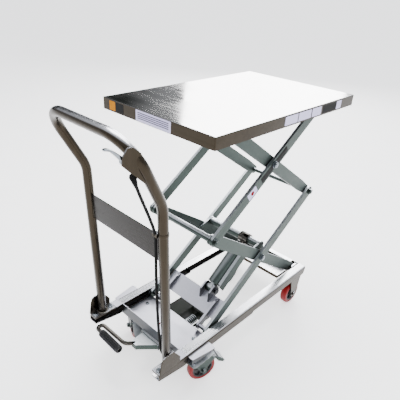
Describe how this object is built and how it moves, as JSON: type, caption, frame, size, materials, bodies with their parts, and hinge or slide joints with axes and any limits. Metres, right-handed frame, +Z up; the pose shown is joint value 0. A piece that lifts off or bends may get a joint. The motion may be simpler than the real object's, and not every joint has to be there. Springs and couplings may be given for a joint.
{
  "type": "scissor lift table",
  "caption": "Hand-pumped double scissor lift table: stainless platform and push handle, zinc scissor arms, ram, foot pump and braked casters.",
  "frame": {"origin": "middle of the whole footprint on the floor, under the wheels", "axes": "+X from the push handle to the front wheels, +Y to the user's left, +Z up"},
  "size_m": [0.962, 0.45, 0.935],
  "materials": {
    "stainless": "polished sheet",
    "zinc_steel": "zinc plated",
    "bright_steel": "zinc plated, bright",
    "chrome": "polished",
    "red_tyre": "moulded polyurethane",
    "black_nylon": "moulded",
    "black_sheath": "smooth",
    "black_casting": "painted casting",
    "black_rubber": "ribbed"
  },
  "bodies": {
    "base": {"base_rail_left": "stainless", "base_rail_right": "stainless", "front_cross_member": "stainless", "front_pivot_brackets": "stainless", "base_pivot_pins": "bright_steel", "front_forks": "stainless", "deck_plate": "zinc_steel", "frame_bolts": "bright_steel", "caster_bracket_left": "zinc_steel", "caster_bracket_right": "zinc_steel", "caster_plates": "zinc_steel", "handle_foot_left": "stainless", "handle_foot_right": "stainless", "handle_tube": "stainless", "handle_panel": "stainless", "lever_bracket": "stainless", "release_cable": "black_sheath", "cable_clip": "stainless", "pump_body": "black_casting", "pedal_bracket": "zinc_steel"},
    "front_wheel_left": {"front_tyre_left": "red_tyre", "front_hub_left": "black_nylon"},
    "front_wheel_right": {"front_tyre_right": "red_tyre", "front_hub_right": "black_nylon"},
    "caster_left": {"caster_fork_left": "zinc_steel"},
    "caster_right": {"caster_fork_right": "zinc_steel"},
    "rear_wheel_left": {"rear_tyre_left": "red_tyre", "rear_hub_left": "black_nylon"},
    "rear_wheel_right": {"rear_tyre_right": "red_tyre", "rear_hub_right": "black_nylon"},
    "brake_left": {"brake_pedal_left": "zinc_steel"},
    "brake_right": {"brake_pedal_right": "zinc_steel"},
    "lower_inner": {"lower_inner_arm_left": "zinc_steel", "lower_inner_arm_right": "zinc_steel", "torsion_tube": "zinc_steel"},
    "lower_outer": {"lower_outer_arm_left": "zinc_steel", "lower_outer_arm_right": "zinc_steel", "lower_cross_plate": "zinc_steel", "lower_center_pins": "bright_steel"},
    "upper_outer": {"upper_outer_arm_left": "zinc_steel", "upper_outer_arm_right": "zinc_steel", "rear_cross_shaft": "zinc_steel", "upper_center_pins": "bright_steel"},
    "upper_inner": {"upper_inner_arm_left": "zinc_steel", "upper_inner_arm_right": "zinc_steel", "front_cross_shaft": "zinc_steel"},
    "table": {"table_top": "stainless", "table_channels": "zinc_steel", "table_brackets": "zinc_steel"},
    "base_rollers": {"base_rollers": "bright_steel"},
    "top_rollers": {"top_rollers": "bright_steel"},
    "ram_barrel": {"ram_barrel": "zinc_steel", "ram_plate": "zinc_steel"},
    "ram_rod": {"ram_rod": "chrome"},
    "release_lever": {"release_lever": "chrome"},
    "pedal": {"pedal_yoke": "zinc_steel", "pedal_rod": "chrome", "pedal_grip": "black_rubber"},
    "plunger": {"pump_plunger": "chrome", "pump_spring": "zinc_steel"}
  },
  "joints": [
    {"name": "lift", "type": "hinge", "parent": "base", "child": "lower_inner", "pos_m": [0.449, 0, 0.1475], "axis": [0, 1, 0], "range_deg": [-27.2, 10.8]},
    {"name": "lower_scissor", "type": "hinge", "parent": "lower_inner", "child": "lower_outer", "pos_m": [0.17889, 0, 0.33093], "axis": [0, 1, 0], "range_deg": [-21.65, 54.45]},
    {"name": "rear_scissor", "type": "hinge", "parent": "lower_inner", "child": "upper_outer", "pos_m": [-0.09121, 0, 0.51435], "axis": [0, 1, 0], "range_deg": [-21.65, 54.45]},
    {"name": "front_scissor", "type": "hinge", "parent": "lower_outer", "child": "upper_inner", "pos_m": [0.449, 0, 0.51435], "axis": [0, 1, 0], "range_deg": [-54.45, 21.65]},
    {"name": "table_hinge", "type": "hinge", "parent": "upper_outer", "child": "table", "pos_m": [0.449, 0, 0.8812], "axis": [0, 1, 0], "range_deg": [-27.25, 10.85]},
    {"name": "ram_clevis", "type": "hinge", "parent": "lower_outer", "child": "ram_barrel", "pos_m": [0.01799, -0.05, 0.22166], "axis": [0, 1, 0], "range_deg": [-6.58, 2.64]},
    {"name": "rod_eye", "type": "hinge", "parent": "lower_inner", "child": "ram_rod", "pos_m": [0.19498, -0.05, 0.36352], "axis": [0, 1, 0], "range_deg": [-19.06, 47.92]},
    {"name": "base_roller_spin", "type": "hinge", "parent": "lower_outer", "child": "base_rollers", "pos_m": [-0.09121, 0, 0.1475], "axis": [0, 1, 0], "continuous": true},
    {"name": "top_roller_spin", "type": "hinge", "parent": "upper_inner", "child": "top_rollers", "pos_m": [-0.09121, 0, 0.8812], "axis": [0, 1, 0], "continuous": true},
    {"name": "front_wheel_spin_left", "type": "hinge", "parent": "base", "child": "front_wheel_left", "pos_m": [0.416, 0.1545, 0.05], "axis": [0, 1, 0], "continuous": true},
    {"name": "caster_swivel_left", "type": "hinge", "parent": "base", "child": "caster_left", "pos_m": [-0.175, 0.163, 0.118], "axis": [0, 0, 1], "continuous": true},
    {"name": "rear_wheel_spin_left", "type": "hinge", "parent": "caster_left", "child": "rear_wheel_left", "pos_m": [-0.18727, 0.13783, 0.05], "axis": [0.8988, -0.4384, 0], "continuous": true},
    {"name": "brake_left", "type": "hinge", "parent": "caster_left", "child": "brake_left", "pos_m": [-0.20393, 0.10368, 0.091], "axis": [0.8988, -0.4384, 0], "range_deg": [0, 12]},
    {"name": "front_wheel_spin_right", "type": "hinge", "parent": "base", "child": "front_wheel_right", "pos_m": [0.416, -0.1545, 0.05], "axis": [0, 1, 0], "continuous": true},
    {"name": "caster_swivel_right", "type": "hinge", "parent": "base", "child": "caster_right", "pos_m": [-0.175, -0.163, 0.118], "axis": [0, 0, 1], "continuous": true},
    {"name": "rear_wheel_spin_right", "type": "hinge", "parent": "caster_right", "child": "rear_wheel_right", "pos_m": [-0.14837, -0.17165, 0.05], "axis": [0.309, 0.9511, 0], "continuous": true},
    {"name": "brake_right", "type": "hinge", "parent": "caster_right", "child": "brake_right", "pos_m": [-0.11223, -0.1834, 0.091], "axis": [0.309, 0.9511, 0], "range_deg": [0, 12]},
    {"name": "release", "type": "hinge", "parent": "base", "child": "release_lever", "pos_m": [-0.438, -0.168, 0.878], "axis": [0, 1, 0], "range_deg": [-12, 0], "stiffness_Nm_per_rad": 0.6, "springref_deg": 20.05},
    {"name": "pump_pedal", "type": "hinge", "parent": "base", "child": "pedal", "pos_m": [-0.221, 0, 0.112], "axis": [0, 1, 0], "range_deg": [-22, 0], "stiffness_Nm_per_rad": 6, "springref_deg": 20.05},
    {"name": "plunger_slide", "type": "slide", "parent": "base", "child": "plunger", "axis": [1, 0, 0], "range_m": [0, 0.0054]}
  ],
  "couplings": [
    {"joint": "lower_scissor", "follows": "lift", "ratio": -2},
    {"joint": "rear_scissor", "follows": "lift", "ratio": -2},
    {"joint": "front_scissor", "follows": "lift", "ratio": 2},
    {"joint": "table_hinge", "follows": "lift", "ratio": 1},
    {"joint": "ram_clevis", "follows": "lift", "ratio": 0.24},
    {"joint": "rod_eye", "follows": "lift", "ratio": -1.76},
    {"joint": "plunger_slide", "follows": "pump_pedal", "m_per_rad": -0.0136}
  ]
}
